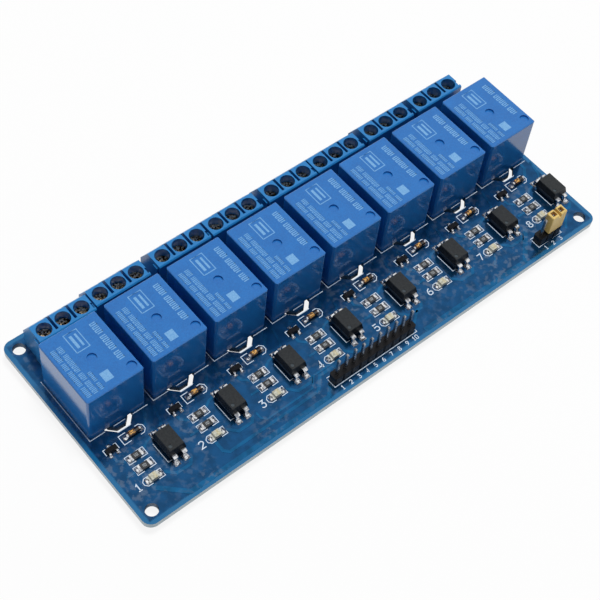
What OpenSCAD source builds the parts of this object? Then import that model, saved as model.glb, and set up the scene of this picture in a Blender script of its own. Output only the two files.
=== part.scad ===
// Relay module board: a row of sealed relays on one circuit board, each with
// its own screw terminal block and its own opto-isolated driver circuit.
// The board lies in XY with its underside at z = 0. The origin is the middle
// of the four mounting holes, +X runs along the row of relays and +Y points
// from the pin headers at the front to the screw terminals at the back.

/* [Board] */
// Number of relay channels
channels = 8; // [8]
// Distance from one channel to the next
channel_pitch = 17.5; // [17:0.1:22]
// Board left over to the left of the first channel
left_margin = 1.5; // [1:0.1:8]
// Board left over to the right of the last channel
right_margin = 0.5; // [0.5:0.1:8]
// Board left over behind the terminal blocks
back_margin = 1.9; // [1:0.1:8]
// Thickness of the board
board_t = 1.6; // [1:0.1:2.4]
// Radius of the board's corners
corner_r = 2.5; // [1:0.1:3]
// Diameter of the mounting holes, M3 clearance
mount_hole_d = 3.2; // [2.6:0.1:3.5]
// Distance of the mounting holes from the board's edges
mount_inset = 3.2; // [3:0.1:4]
// Width of the routed isolation slots
slot_w = 1.1; // [1:0.05:2]
// Length of an isolation slot's straight front run
slot_run = 2.8; // [2.4:0.1:4.5]
// How far an isolation slot's front run lies ahead of the relay
slot_lead = 1.8; // [1:0.1:2]
// How far an isolation slot's corners run back at 45 degrees
slot_bend = 1.9; // [1:0.1:2]
// How far an isolation slot's legs reach back under the relay
slot_reach = 5.5; // [4:0.1:8]

/* [Rows, from the front edge] */
// Front edge to the pin headers
header_row = 4.1; // [4:0.1:5]
// Front edge to the indicator lights
led_row = 9.2; // [8.6:0.1:9.6]
// Front edge to the front resistor
lower_resistor_row = 12.7; // [12.2:0.1:13]
// Front edge to the rear resistor
upper_resistor_row = 15.9; // [15.4:0.1:16.2]
// Front edge to the optocouplers
optocoupler_row = 13.5; // [13:0.1:14]
// Front edge to the transistors
transistor_row = 20.3; // [19.6:0.1:20.6]
// Front edge to the diodes
diode_row = 20.9; // [20.6:0.1:21.4]
// Front edge to the relays' front faces
relay_front = 25.5; // [25:0.1:30]
// Space between the relays and the terminal blocks
row_gap = 3.8; // [2:0.1:8]
// How far the terminal blocks sit to the right of the row's middle
terminal_row_shift = 0.3; // [0:0.1:0.5]

/* [Columns, from the middle of the channel] */
// Light and resistor column
light_column = -2.05; // [-2.4:0.05:-1.6]
// Optocoupler column
optocoupler_column = 5.35; // [4.9:0.05:5.6]
// Transistor column
transistor_column = -5.5; // [-5.8:0.05:-5.2]
// Diode column
diode_column = 0.75; // [0.4:0.05:0.8]

/* [Relay] */
// Relay width
relay_w = 15.2; // [14.6:0.1:16]
// Relay depth
relay_d = 19; // [18.6:0.1:20.5]
// Relay height
relay_h = 15.4; // [15:0.1:18]
// Wall of the relay cover
cover_wall = 1; // [0.6:0.05:1.1]
// Radius of the cover's upright edges
cover_corner_r = 0.7; // [0.3:0.1:1.2]
// Radius of the cover's top edges
cover_top_r = 0.4; // [0.2:0.1:0.6]
// Diameter of the moulded marks in the cover's top
cover_mark_d = 2.4; // [1.5:0.1:3]
// Depth of the moulded marks
cover_mark_depth = 0.5; // [0.2:0.05:0.6]
// Thickness of the relay's base plate
relay_base_t = 1.8; // [1.2:0.1:2]
// Outer diameter of the coil
coil_d = 9.4; // [7:0.1:9.8]
// Space between the upper contact's arm and the cover
contact_headroom = 0.5; // [0.3:0.05:1]
// Diameter of the iron core
core_d = 3; // [2:0.1:4]
// Thickness of the yoke and of the armature
iron_t = 1; // [0.8:0.05:1.1]
// Distance that the armature stands off the core
armature_gap = 0.3; // [0.1:0.05:0.5]
// Diameter of the contact rivets
contact_d = 2.4; // [1.5:0.1:2.8]
// Gap between the open contacts
contact_gap = 0.5; // [0.3:0.05:0.6]
// Wide side of a relay lead
relay_lead_w = 1.2; // [0.8:0.1:1.3]
// Thin side of a relay lead
relay_lead_t = 0.6; // [0.4:0.05:0.8]

/* [Terminal block] */
// Distance between the poles
pole_pitch = 5.08; // [5:0.01:5.3]
// Depth of a block
terminal_d = 7.8; // [7.4:0.1:9]
// Height of a block
terminal_h = 10; // [9.6:0.1:12]
// Depth of a block's flat top
terminal_top_d = 5; // [4.8:0.1:5.4]
// Height where the wire side starts to slope
terminal_shoulder_h = 5.6; // [5.2:0.1:7]
// Diameter of the screw wells
well_d = 3.8; // [3.4:0.05:3.9]
// Width of the slits between the poles
slit_w = 0.7; // [0.5:0.05:0.8]
// Width of the wire entries
wire_entry_w = 2.7; // [2:0.1:3]
// Height of the wire entries
wire_entry_h = 3.6; // [3:0.1:4]
// Width of the terminal chambers
chamber_w = 3.9; // [3.8:0.05:4]
// Diameter of the screw heads
screw_head_d = 3.5; // [3:0.1:3.6]
// Depth of the screw heads below the rims of the wells
screw_sink = 2.5; // [1.5:0.1:3]
// Diameter of the screw shanks
screw_d = 2.2; // [1.8:0.1:2.4]
// How far the side rib of a block stands out
rib_out = 0.35; // [0.2:0.05:0.4]

/* [Pin headers] */
// Distance between the header pins
pin_pitch = 2.54; // [2.54]
// Side of a header pin
pin_w = 0.64; // [0.5:0.02:0.7]
// Height of a header pin's tip above the board
pin_h = 8.54; // [8.3:0.01:9]
// Height of the header base
header_base_h = 2.54; // [2:0.01:2.6]
// Number of pins in the input header
input_pins = 10; // [4:1:10]
// Number of pins in the power header
power_pins = 3; // [3]
// Left edge of the board to the middle of the input header
input_header_x = 68.2; // [60:0.1:100]
// Right edge of the board to the middle of the power header
power_header_x = 14.7; // [12:0.1:20]
// Height of the jumper cap
jumper_h = 6; // [5.5:0.1:6.5]
// How far the jumper cap stands off the header base
jumper_lift = 0.5; // [0:0.1:0.8]

/* [Surface parts] */
// Width of an optocoupler
opto_w = 4.6; // [4.2:0.1:5]
// Length of an optocoupler's body
opto_l = 6.6; // [6:0.1:6.8]
// Height of an optocoupler's body
opto_h = 3.6; // [3:0.1:4]
// Span of an optocoupler's feet
opto_span = 9.8; // [9:0.1:10.2]
// Length of a chip resistor or light
chip_l = 3.2; // [2.8:0.1:3.4]
// Width of a chip resistor or light
chip_w = 1.6; // [1.2:0.05:1.8]
// Length of a diode
diode_l = 3.8; // [3.3:0.1:5.1]
// Diameter of a diode
diode_d = 1.4; // [1.3:0.1:2.1]
// Length of a transistor's body
transistor_l = 2.9; // [2.6:0.1:3]
// Width of a transistor's body
transistor_w = 1.3; // [1.2:0.05:1.5]
// Span of a transistor's feet
transistor_span = 2.5; // [2.4:0.05:2.7]

/* [Soldering] */
// How far the relay and terminal leads stick out under the board
lead_below = 2; // [1.5:0.1:3]
// How far the header pins stick out under the board
pin_below = 1.4; // [1.2:0.1:1.9]
// Height of the solder cones under the board
solder_h = 1; // [0.6:0.1:1.1]
// Thickness of the solder on the surface pads
pad_t = 0.08; // [0.05:0.01:0.15]

/* [Hidden] */
$fn = 48;
// Small overlap that keeps a cut clear of the face that it opens
eps = 0.01;
// Running clearance between pieces that slide together
fit = 0.05;

// Overall board, from its rows and columns
terminal_front = relay_front + relay_d + row_gap;
board_w = terminal_front + terminal_d + back_margin;
board_l = left_margin + channels * channel_pitch + right_margin;

// Places on the board: the distance from its left or front edge as a coordinate
function from_left(x) = x - board_l / 2;
function from_front(y) = y - board_w / 2;
function channel_x(i) = from_left(left_margin + (i + 0.5) * channel_pitch);
relay_y = from_front(relay_front + relay_d / 2);

// Terminal blocks share out the spare length of the channels in uneven gaps
terminal_w = 3 * pole_pitch + 0.06;
gap_shares = [0.2, 1.2, 0.3, 0.9, 0.2, 0.9, 0.8];
// How far each hand-placed block sits back from the row's line
setbacks = [-0.8, -0.2, 0, 0, 0, 0, 0.3, 0.3];
spare = channel_pitch - terminal_w;
function sum_to(list, n) = n < 1 ? 0 : list[n - 1] + sum_to(list, n - 1);
terminal_row_l = channels * terminal_w + spare * sum_to(gap_shares, channels - 1);
function terminal_x(i) =
    (i + 0.5) * terminal_w + spare * sum_to(gap_shares, i) - terminal_row_l / 2
    + terminal_row_shift;
function terminal_y(i) = from_front(terminal_front) + setbacks[i];
poles = [-1, 0, 1];

// Relay leads, from the middle of the relay: common, coil pair and contact pair
lead_inset = 1.7;
common_inset = 2.35;
coil_lead_step = 2;
contact_inset = 2.65;
lead_side = relay_w / 2 - lead_inset;
common_y = -relay_d / 2 + common_inset;
coil_lead_y = common_y + coil_lead_step;
contact_y = relay_d / 2 - contact_inset;
common_lead = [0, common_y];
coil_leads = [[-lead_side, coil_lead_y], [lead_side, coil_lead_y]];
normally_open = [lead_side, contact_y];
normally_closed = [-lead_side, contact_y];
relay_leads = concat([common_lead], coil_leads, [normally_open, normally_closed]);
relay_hole_d = norm([relay_lead_w, relay_lead_t]) + 0.15;

// Moulded marks in the cover's top: gate mark in the middle, ejector mark at a corner
cover_marks = [[0, -0.4], [relay_w / 2 - 1.8, -relay_d / 2 + 2.3]];

// Inside of the relay, upwards from its seat on the board
cavity_w = relay_w - 2 * cover_wall;
cavity_d = relay_d - 2 * cover_wall;
cavity_top = relay_h - cover_wall;
flange_t = 0.8;
flange_d = coil_d + 0.4;
core_head_t = 0.5;
core_head_rim = 1.1;
tube_wall = 1;
tube_d = core_d + 2 * tube_wall;
spring_t = 0.2;
spring_w = 4;
spring_leg = 4;
strip_t = 0.4;
rivet_t = 0.4;
yoke_room = 0.5;
yoke_front = -cavity_d / 2 + yoke_room;
yoke_w = coil_d - 1;
coil_room = 0.2;
coil_y = yoke_front + iron_t + coil_room + flange_d / 2;
bobbin_z = relay_base_t + iron_t;
coil_z = bobbin_z + flange_t;
closed_rivet_z = cavity_top - contact_headroom - strip_t - rivet_t;
spring_z = closed_rivet_z - rivet_t - spring_t;
armature_z = spring_z - iron_t;
bobbin_top = armature_z - armature_gap - core_head_t;
coil_h = bobbin_top - flange_t - coil_z;
open_rivet_top = spring_z - rivet_t - contact_gap;

// Terminal block, forwards and upwards from its front bottom edge
well_y = terminal_top_d / 2 + 0.05;
rib_front = 0.6;
rib_w = 1.8;
rib_slope = 0.3;
chamber_front = 0.5;
chamber_back = 4.9;
chamber_roof = 3;
chamber_h = terminal_h - chamber_roof;
clamp_w = chamber_w - 0.3;
clamp_front = 1.2;
clamp_back = 4.7;
clamp_z = 0.75;
clamp_wall = 0.65;
clamp_top_t = 1;
clamp_room = 0.3;
terminal_strip_t = 0.6;
screw_head_t = 1.3;
screw_head_z = terminal_h - screw_sink - screw_head_t;
strip_z = screw_head_z - clamp_top_t - clamp_room - terminal_strip_t;
terminal_leg_y = 3.6;
terminal_leg_w = 1;
terminal_leg_t = 0.8;
terminal_hole_d = norm([terminal_leg_w, terminal_leg_t]) + 0.15;

// Headers
header_y = from_front(header_row);
input_x = from_left(input_header_x);
power_x = -from_left(power_header_x);
pin_hole_d = pin_w * sqrt(2) + 0.15;
jumper_x = power_x + pin_pitch / 2;
jumper_w = 2 * pin_pitch - 0.1;
jumper_d = pin_pitch - 0.04;
clip_w = pin_w + 0.6;

// Surface parts
opto_lead_pitch = 2.54;
opto_lead_w = 1.1;
opto_lead_t = 0.3;
opto_lift = 0.25;
opto_draft = 0.38;
chip_end = 0.55;
chip_t = 0.55;
transistor_h = 1;
transistor_lead_w = 0.45;
transistor_lead_t = 0.15;
transistor_pitch = 1.9;

// ---- shapes that repeat ----

// Rectangle with round corners, centred
module round_rect(w, d, r) {
    square([w - 2 * r, d], center = true);
    square([w, d - 2 * r], center = true);
    for (x = [-1, 1], y = [-1, 1])
        translate([x * (w / 2 - r), y * (d / 2 - r)]) circle(r);
}

// Upright outline that is round at its two top corners, from -w/2 to w/2
module round_top(w, h, r) {
    translate([-w / 2, -eps]) square([w, h - r + eps]);
    translate([-w / 2 + r, 0]) square([w - 2 * r, h]);
    for (x = [-1, 1]) translate([x * (w / 2 - r), h - r]) circle(r);
}

// Block with round upright edges and round top edges
module soft_block(w, d, h, side_r, top_r) {
    intersection() {
        linear_extrude(h) round_rect(w, d, side_r);
        translate([0, d / 2, 0]) rotate([90, 0, 0]) linear_extrude(d) round_top(w, h, top_r);
        translate([-w / 2, 0, 0]) rotate([90, 0, 90]) linear_extrude(w) round_top(d, h, top_r);
    }
}

// Outline in YZ extruded along X to the width w, centred
module along_x(w) {
    translate([-w / 2, 0, 0]) rotate([90, 0, 90]) linear_extrude(w) children();
}

// Outline in XZ extruded along Y to the depth d, centred
module along_y(d) {
    translate([0, d / 2, 0]) rotate([90, 0, 0]) linear_extrude(d) children();
}

// Box on z, centred in x and y
module box(w, d, z, h) {
    translate([-w / 2, -d / 2, z]) cube([w, d, h]);
}

// Moulded body with draft: widest at its parting line, narrower above and below
module moulded_body(w, l, h, draft) {
    intersection() {
        along_y(l) polygon([[-w / 2 + draft, 0], [w / 2 - draft, 0], [w / 2, h / 2],
            [w / 2 - draft, h], [-w / 2 + draft, h], [-w / 2, h / 2]]);
        along_x(w) polygon([[-l / 2 + draft, 0], [l / 2 - draft, 0], [l / 2, h / 2],
            [l / 2 - draft, h], [-l / 2 + draft, h], [-l / 2, h / 2]]);
    }
}

// Gull-wing lead: out of the body at z_out, down, and out again to the foot
module gull_lead(y_body, y_foot, z_out, w, t) {
    y_knee = y_body + (y_foot - y_body) * 0.45;
    along_x(w) polygon([[y_body, z_out], [y_body, z_out + t], [y_knee, z_out + t],
        [y_knee + t, z_out], [y_knee + t, t], [y_foot, t], [y_foot, 0], [y_knee + t / 2, 0],
        [y_knee, t / 2], [y_knee, z_out - t / 2], [y_knee - t / 2, z_out]]);
}

// Straight slot between two points in the plane
module slot_between(a, b, w) {
    d = b - a;
    for (p = [a, b]) translate(p) circle(w / 2);
    translate(a) rotate(atan2(d[1], d[0])) translate([0, -w / 2]) square([norm(d), w]);
}

module each_channel(y) {
    for (i = [0:channels - 1]) translate([channel_x(i), y, board_t]) children();
}

module each_pole(i) {
    for (p = poles) translate([terminal_x(i) + p * pole_pitch, terminal_y(i), board_t])
        children();
}

module all_poles() {
    for (i = [0:channels - 1]) each_pole(i) children();
}

module pin_row(n, x) {
    for (k = [0:n - 1]) translate([x + (k - (n - 1) / 2) * pin_pitch, header_y, 0]) children();
}

// ---- circuit board ----

// Routed slot that bends round the common lead and runs back under the relay
module isolation_slot() {
    front = -relay_d / 2 - slot_lead;
    arm = slot_run / 2 + slot_bend;
    points = [[-arm, front + slot_reach + slot_lead], [-arm, front + slot_bend], [-slot_run / 2, front],
        [slot_run / 2, front], [arm, front + slot_bend], [arm, front + slot_reach + slot_lead]];
    for (k = [0:len(points) - 2]) slot_between(points[k], points[k + 1], slot_w);
}

module circuit_board() {
    color([0.10, 0.33, 0.58]) linear_extrude(board_t) difference() {
        round_rect(board_l, board_w, corner_r);
        for (x = [-1, 1], y = [-1, 1])
            translate([x * (board_l / 2 - mount_inset), y * (board_w / 2 - mount_inset)])
                circle(mount_hole_d / 2);
        for (i = [0:channels - 1]) translate([channel_x(i), relay_y]) {
            isolation_slot();
            for (p = relay_leads) translate(p) circle(relay_hole_d / 2);
        }
        for (i = [0:channels - 1], p = poles)
            translate([terminal_x(i) + p * pole_pitch, terminal_y(i) + terminal_leg_y])
                circle(terminal_hole_d / 2);
        pin_row(input_pins, input_x) circle(pin_hole_d / 2);
        pin_row(power_pins, power_x) circle(pin_hole_d / 2);
    }
}

// ---- relay ----

module at_relay(i) {
    translate([channel_x(i), relay_y, board_t]) children();
}

module at_relays() {
    each_channel(relay_y) children();
}

module relay_cover(i) {
    color([0.16, 0.40, 0.74]) at_relay(i) difference() {
        soft_block(relay_w, relay_d, relay_h, cover_corner_r, cover_top_r);
        box(cavity_w, cavity_d, -eps, relay_h - cover_wall + eps);
        for (p = cover_marks) translate([p[0], p[1], relay_h - cover_mark_depth])
                cylinder(d = cover_mark_d, h = cover_mark_depth + eps);
    }
}

// Lead outline: wide side along X for the common lead, along Y for the others
module lead_outline(p, grow = 0) {
    w = p[0] == 0 ? relay_lead_w : relay_lead_t;
    d = p[0] == 0 ? relay_lead_t : relay_lead_w;
    translate(p) square([w + 2 * grow, d + 2 * grow], center = true);
}

module relay_bases() {
    color([0.13, 0.34, 0.66]) at_relays() linear_extrude(relay_base_t) difference() {
        square([cavity_w - 2 * fit, cavity_d - 2 * fit], center = true);
        for (p = relay_leads) lead_outline(p, fit);
    }
}

// L-shaped iron yoke: a foot under the coil and a wall in front of it
module relay_yokes() {
    foot_back = coil_y + coil_d / 2 + 0.6;
    color([0.72, 0.72, 0.74]) at_relays() difference() {
        along_x(yoke_w) polygon([[yoke_front, relay_base_t], [foot_back, relay_base_t],
            [foot_back, bobbin_z], [yoke_front + iron_t, bobbin_z],
            [yoke_front + iron_t, armature_z], [yoke_front, armature_z]]);
        translate([0, coil_y, relay_base_t - eps]) cylinder(d = core_d, h = iron_t + 2 * eps);
    }
}

module relay_cores() {
    color([0.62, 0.62, 0.64]) at_relays() translate([0, coil_y, 0]) {
        translate([0, 0, relay_base_t]) cylinder(d = core_d, h = bobbin_top - relay_base_t);
        translate([0, 0, bobbin_top]) cylinder(d = core_d + 2 * core_head_rim, h = core_head_t);
    }
}

// Spool of the coil; its lower flange also holds the two coil leads
module relay_bobbins() {
    color([0.93, 0.92, 0.86]) at_relays() difference() {
        translate([0, coil_y, 0]) {
            box(cavity_w - 0.6, flange_d, bobbin_z, flange_t);
            box(flange_d, flange_d, bobbin_top - flange_t, flange_t);
            translate([0, 0, bobbin_z]) cylinder(d = tube_d, h = bobbin_top - bobbin_z);
        }
        translate([0, coil_y, bobbin_z - eps])
            cylinder(d = core_d + 2 * fit, h = bobbin_top - bobbin_z + 2 * eps);
        translate([0, 0, bobbin_z - eps]) linear_extrude(flange_t + 2 * eps)
            for (p = coil_leads) lead_outline(p, fit);
    }
}

module relay_coils() {
    color([0.72, 0.38, 0.16]) at_relays() translate([0, coil_y, coil_z]) difference() {
        cylinder(d = coil_d, h = coil_h);
        translate([0, 0, -eps]) cylinder(d = tube_d, h = coil_h + 2 * eps);
    }
}

module relay_armatures() {
    armature_back = coil_y + coil_d / 2 + 0.3;
    color([0.70, 0.70, 0.72]) at_relays()
        translate([-yoke_w / 2, yoke_front, armature_z])
            cube([yoke_w, armature_back - yoke_front, iron_t]);
}

// Contact spring: flat on the armature, bent down along the yoke, with its rivet
module relay_springs() {
    back = contact_y + contact_d / 2;
    color([0.80, 0.52, 0.28]) at_relays() {
        along_x(spring_w) polygon([[yoke_front, bobbin_top - spring_leg],
            [yoke_front - spring_t, bobbin_top - spring_leg],
            [yoke_front - spring_t, spring_z + spring_t], [back, spring_z + spring_t],
            [back, spring_z], [yoke_front, spring_z]]);
        for (z = [spring_z - rivet_t, spring_z + spring_t])
            translate([0, contact_y, z]) cylinder(d = contact_d, h = rivet_t);
    }
}

// One fixed contact: a lead through the base, an arm over to the middle, a rivet
module fixed_contact(p, arm_z, rivet_z) {
    side = sign(p[0]);
    down = -board_t - lead_below;
    translate([p[0] - relay_lead_t / 2, p[1] - relay_lead_w / 2, down])
        cube([relay_lead_t, relay_lead_w, arm_z + strip_t - down]);
    translate([side > 0 ? -contact_d / 2 : -lead_side, p[1] - relay_lead_w / 2, arm_z])
        cube([lead_side + contact_d / 2, relay_lead_w, strip_t]);
    translate([0, p[1], rivet_z]) cylinder(d = contact_d, h = rivet_t);
}

module relay_fixed_contacts() {
    color([0.82, 0.60, 0.36]) at_relays() {
        fixed_contact(normally_open, open_rivet_top - rivet_t - strip_t, open_rivet_top - rivet_t);
        fixed_contact(normally_closed, closed_rivet_z + rivet_t, closed_rivet_z);
    }
}

// Common lead, up to the yoke, and the two coil leads, up to the winding
module relay_pins() {
    color([0.80, 0.81, 0.83]) at_relays() translate([0, 0, -board_t - lead_below]) {
        linear_extrude(board_t + lead_below + relay_base_t) lead_outline(common_lead);
        linear_extrude(board_t + lead_below + coil_z + 1)
            for (p = coil_leads) lead_outline(p);
    }
}

// ---- screw terminal block ----

// Side view of the housing: flat top and a wire side that slopes down
module terminal_profile() {
    polygon([[0, 0], [terminal_d, 0], [terminal_d, terminal_shoulder_h],
        [terminal_top_d, terminal_h], [0.3, terminal_h], [0, terminal_h - 0.3]]);
}

// Dovetail that keys one block to the next, in plan: it widens outwards
module dovetail(grow = 0) {
    polygon([[eps, rib_front + rib_slope - grow], [-rib_out - grow, rib_front - grow],
        [-rib_out - grow, rib_front + rib_w + grow],
        [eps, rib_front + rib_w - rib_slope + grow]]);
}

module terminal_housing(i) {
    slit_front = 0.9;
    slit_floor = 3;
    entry_z = 1.2;
    color([0.25, 0.49, 0.76]) translate([terminal_x(i), terminal_y(i), board_t]) difference() {
        union() {
            along_x(terminal_w) terminal_profile();
            translate([-terminal_w / 2, 0, 0]) linear_extrude(terminal_h - 1) dovetail();
        }
        translate([terminal_w / 2, 0, -eps]) linear_extrude(terminal_h + 1) dovetail(fit);
        for (p = poles) translate([p * pole_pitch, 0, 0]) {
            translate([-chamber_w / 2, chamber_front, -eps])
                cube([chamber_w, chamber_back - chamber_front, chamber_h + eps]);
            translate([0, well_y, chamber_h - eps]) cylinder(d = well_d, h = terminal_h);
            translate([0, terminal_d + eps, entry_z]) rotate([90, 0, 0])
                linear_extrude(terminal_d - chamber_back + 2 * eps) wire_entry();
        }
        for (x = [-0.5, 0.5])
            translate([x * pole_pitch - slit_w / 2, slit_front, slit_floor])
                cube([slit_w, terminal_d, terminal_h]);
    }
}

// Wire entry: a slot with round ends
module wire_entry() {
    r = wire_entry_w / 2;
    translate([-r, r]) square([wire_entry_w, wire_entry_h - wire_entry_w]);
    for (z = [r, wire_entry_h - r]) translate([0, z]) circle(r);
}

module terminal_screws() {
    drive_w = 0.7;
    drive_depth = 0.7;
    tip_z = strip_z + terminal_strip_t + fit;
    color([0.78, 0.76, 0.70]) all_poles() translate([0, well_y, 0]) {
        difference() {
            translate([0, 0, screw_head_z]) cylinder(d = screw_head_d, h = screw_head_t);
            box(screw_head_d + 1, drive_w, screw_head_z + screw_head_t - drive_depth, screw_head_t);
        }
        translate([0, 0, tip_z]) cylinder(d = screw_d, h = screw_head_z - tip_z);
    }
}

// Rising clamp: a square cage that the screw pulls up against the strip
module terminal_clamps() {
    cage_l = clamp_back - clamp_front;
    window_top = screw_head_z - clamp_top_t;
    color([0.80, 0.74, 0.50]) all_poles() difference() {
        translate([-clamp_w / 2, clamp_front, clamp_z])
            cube([clamp_w, cage_l, screw_head_z - clamp_z]);
        translate([-clamp_w / 2 + clamp_wall, clamp_front - eps, clamp_z + clamp_wall])
            cube([clamp_w - 2 * clamp_wall, cage_l + 2 * eps, window_top - clamp_z - clamp_wall]);
        translate([0, well_y, window_top - eps]) cylinder(d = screw_d, h = clamp_top_t + 2 * eps);
    }
}

// Bent strip: its top lies in the clamp, its leg goes down through the board
module terminal_pins() {
    strip_w = clamp_w - 2 * clamp_wall - 0.3;
    top = strip_z + terminal_strip_t;
    foot_z = clamp_z - 0.05;
    color([0.84, 0.84, 0.80]) all_poles() {
        along_x(strip_w) polygon([[chamber_front + fit, 0], [chamber_front + fit, top],
            [clamp_back, top], [clamp_back, strip_z], [clamp_front - fit, strip_z],
            [clamp_front - fit, foot_z], [terminal_leg_y + terminal_leg_w / 2, foot_z],
            [terminal_leg_y + terminal_leg_w / 2, 0]]);
        translate([0, terminal_leg_y, 0])
            box(terminal_leg_t, terminal_leg_w, -board_t - lead_below, board_t + lead_below);
    }
}

// ---- optocoupler ----

module optocoupler(i) {
    dot_d = 0.9;
    dot_depth = 0.15;
    color([0.10, 0.10, 0.11])
        translate([channel_x(i) + optocoupler_column, from_front(optocoupler_row), board_t + opto_lift])
            difference() {
                moulded_body(opto_w, opto_l, opto_h, opto_draft);
                translate([-opto_w / 2 + 1.15, -opto_l / 2 + 1.35, opto_h - dot_depth])
                    cylinder(d = dot_d, h = dot_depth + eps);
            }
}

module optocoupler_leads() {
    color([0.80, 0.81, 0.83]) each_channel(from_front(optocoupler_row))
        for (x = [-0.5, 0.5], side = [0, 180])
            translate([optocoupler_column + x * opto_lead_pitch, 0, pad_t]) rotate(side)
                gull_lead(opto_l / 2, opto_span / 2, opto_lift + opto_h / 2 - pad_t - opto_lead_t / 2,
                    opto_lead_w, opto_lead_t);
}

// ---- diode, transistor, resistors and light ----

diode_cap_l = 0.4;
diode_pad_out = 0.9;

module at_diodes() {
    each_channel(from_front(diode_row)) translate([diode_column, 0, pad_t + diode_d / 2])
        rotate([0, 90, 0]) children();
}

module diode_bodies() {
    l = diode_l - 2 * diode_cap_l;
    color([0.55, 0.28, 0.10]) at_diodes() cylinder(d = diode_d - 0.1, h = l, center = true);
}

module diode_caps() {
    color([0.80, 0.81, 0.83]) at_diodes() for (side = [-1, 1])
        translate([0, 0, side * (diode_l - diode_cap_l) / 2])
            cylinder(d = diode_d, h = diode_cap_l, center = true);
}

module at_transistors() {
    each_channel(from_front(transistor_row)) translate([transistor_column, 0, pad_t]) children();
}

module transistor_bodies() {
    color([0.10, 0.10, 0.11]) at_transistors() moulded_body(transistor_l, transistor_w, transistor_h, 0.1);
}

module transistor_leads() {
    color([0.80, 0.81, 0.83]) at_transistors()
        for (p = [[-0.5, 180], [0.5, 180], [0, 0]])
            translate([p[0] * transistor_pitch, 0, 0]) rotate(p[1])
                gull_lead(transistor_w / 2, transistor_span / 2,
                    transistor_h / 2 - transistor_lead_t / 2, transistor_lead_w, transistor_lead_t);
}

module at_resistors() {
    for (y = [lower_resistor_row, upper_resistor_row])
        each_channel(from_front(y)) translate([light_column, 0, pad_t]) children();
}

module resistor_bodies() {
    color([0.12, 0.12, 0.13]) at_resistors() box(chip_l - 2 * chip_end, chip_w, 0, chip_t);
}

module resistor_caps() {
    color([0.82, 0.83, 0.85]) at_resistors() for (side = [-1, 1])
        translate([side * (chip_l - chip_end) / 2, 0, 0]) box(chip_end, chip_w, 0, chip_t + 0.03);
}

module at_leds() {
    each_channel(from_front(led_row)) translate([light_column, 0, pad_t]) children();
}

led_base_t = 0.4;

// Base with a half-round notch in each end, as where a plated hole was cut through
module led_bases() {
    color([0.88, 0.88, 0.84]) at_leds() linear_extrude(led_base_t) difference() {
        square([chip_l, chip_w], center = true);
        for (side = [-1, 1]) translate([side * chip_l / 2, 0]) circle(0.3);
    }
}

// Lens with sloping ends on the middle of the base
module led_lenses() {
    lens_l = chip_l - 2 * chip_end;
    lens_t = 0.7;
    color([0.93, 0.90, 0.74]) at_leds() translate([0, 0, led_base_t]) along_y(chip_w)
        polygon([[-lens_l / 2, 0], [lens_l / 2, 0], [lens_l / 2 - 0.15, lens_t],
            [-lens_l / 2 + 0.15, lens_t]]);
}

// ---- pin headers and jumper ----

// Header base in plan: one eight-sided segment for each pin
module header_base(n, x) {
    cut = 0.35;
    half = pin_pitch / 2;
    color([0.09, 0.09, 0.10]) translate([0, 0, board_t]) linear_extrude(header_base_h) difference() {
        pin_row(n, x) polygon([[-half, -half + cut], [-half + cut, -half], [half - cut, -half],
            [half, -half + cut], [half, half - cut], [half - cut, half], [-half + cut, half],
            [-half, half - cut]]);
        pin_row(n, x) square(pin_w, center = true);
    }
}

// Square pin with a short taper at both ends
module header_pin() {
    taper = 0.35;
    top = board_t + pin_h;
    half = pin_w / 2;
    tip = half - 0.18;
    points = [[-tip, -pin_below], [tip, -pin_below], [half, -pin_below + taper], [half, top - taper],
        [tip, top], [-tip, top], [-half, top - taper], [-half, -pin_below + taper]];
    intersection() {
        along_y(pin_w) polygon(points);
        along_x(pin_w) polygon(points);
    }
}

module input_header_base() { header_base(input_pins, input_x); }
module power_header_base() { header_base(power_pins, power_x); }
module input_header_pins() {
    color([0.80, 0.81, 0.83]) pin_row(input_pins, input_x) header_pin();
}
module power_header_pins() {
    color([0.80, 0.81, 0.83]) pin_row(power_pins, power_x) header_pin();
}

jumper_z = board_t + header_base_h + jumper_lift;
bridge_z = jumper_h - 2.2;
bridge_t = 0.4;
bridge_w = 0.9;

module at_jumper() {
    translate([jumper_x, header_y, jumper_z]) children();
}

// Cap with two open sockets and a notch across its top
module jumper_cap() {
    notch_w = 0.8;
    notch_h = 1.1;
    color([0.84, 0.76, 0.45]) at_jumper() difference() {
        soft_block(jumper_w, jumper_d, jumper_h, 0.25, 0.3);
        for (side = [-1, 1]) translate([side * pin_pitch / 2, 0, 0])
            box(clip_w + 2 * fit, clip_w + 2 * fit, -eps, jumper_h + 1);
        box(notch_w, jumper_d + 1, jumper_h - notch_h, notch_h + 1);
        box(pin_pitch, bridge_w + 2 * fit, bridge_z - fit, bridge_t + 2 * fit);
    }
}

// Two square sleeves round the pins, joined by a bridge
module jumper_clip() {
    color([0.80, 0.68, 0.36]) at_jumper() difference() {
        union() {
            for (side = [-1, 1]) translate([side * pin_pitch / 2, 0, 0])
                box(clip_w, clip_w, 0.3, jumper_h - 0.9);
            box(pin_pitch, bridge_w, bridge_z, bridge_t);
        }
        for (side = [-1, 1]) translate([side * pin_pitch / 2, 0, 0])
            box(pin_w + 2 * fit, pin_w + 2 * fit, 0, jumper_h + 1);
    }
}

// ---- solder ----

module pad(x, y, w, d) {
    translate([x, y, 0]) box(w, d, 0, pad_t);
}

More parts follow.
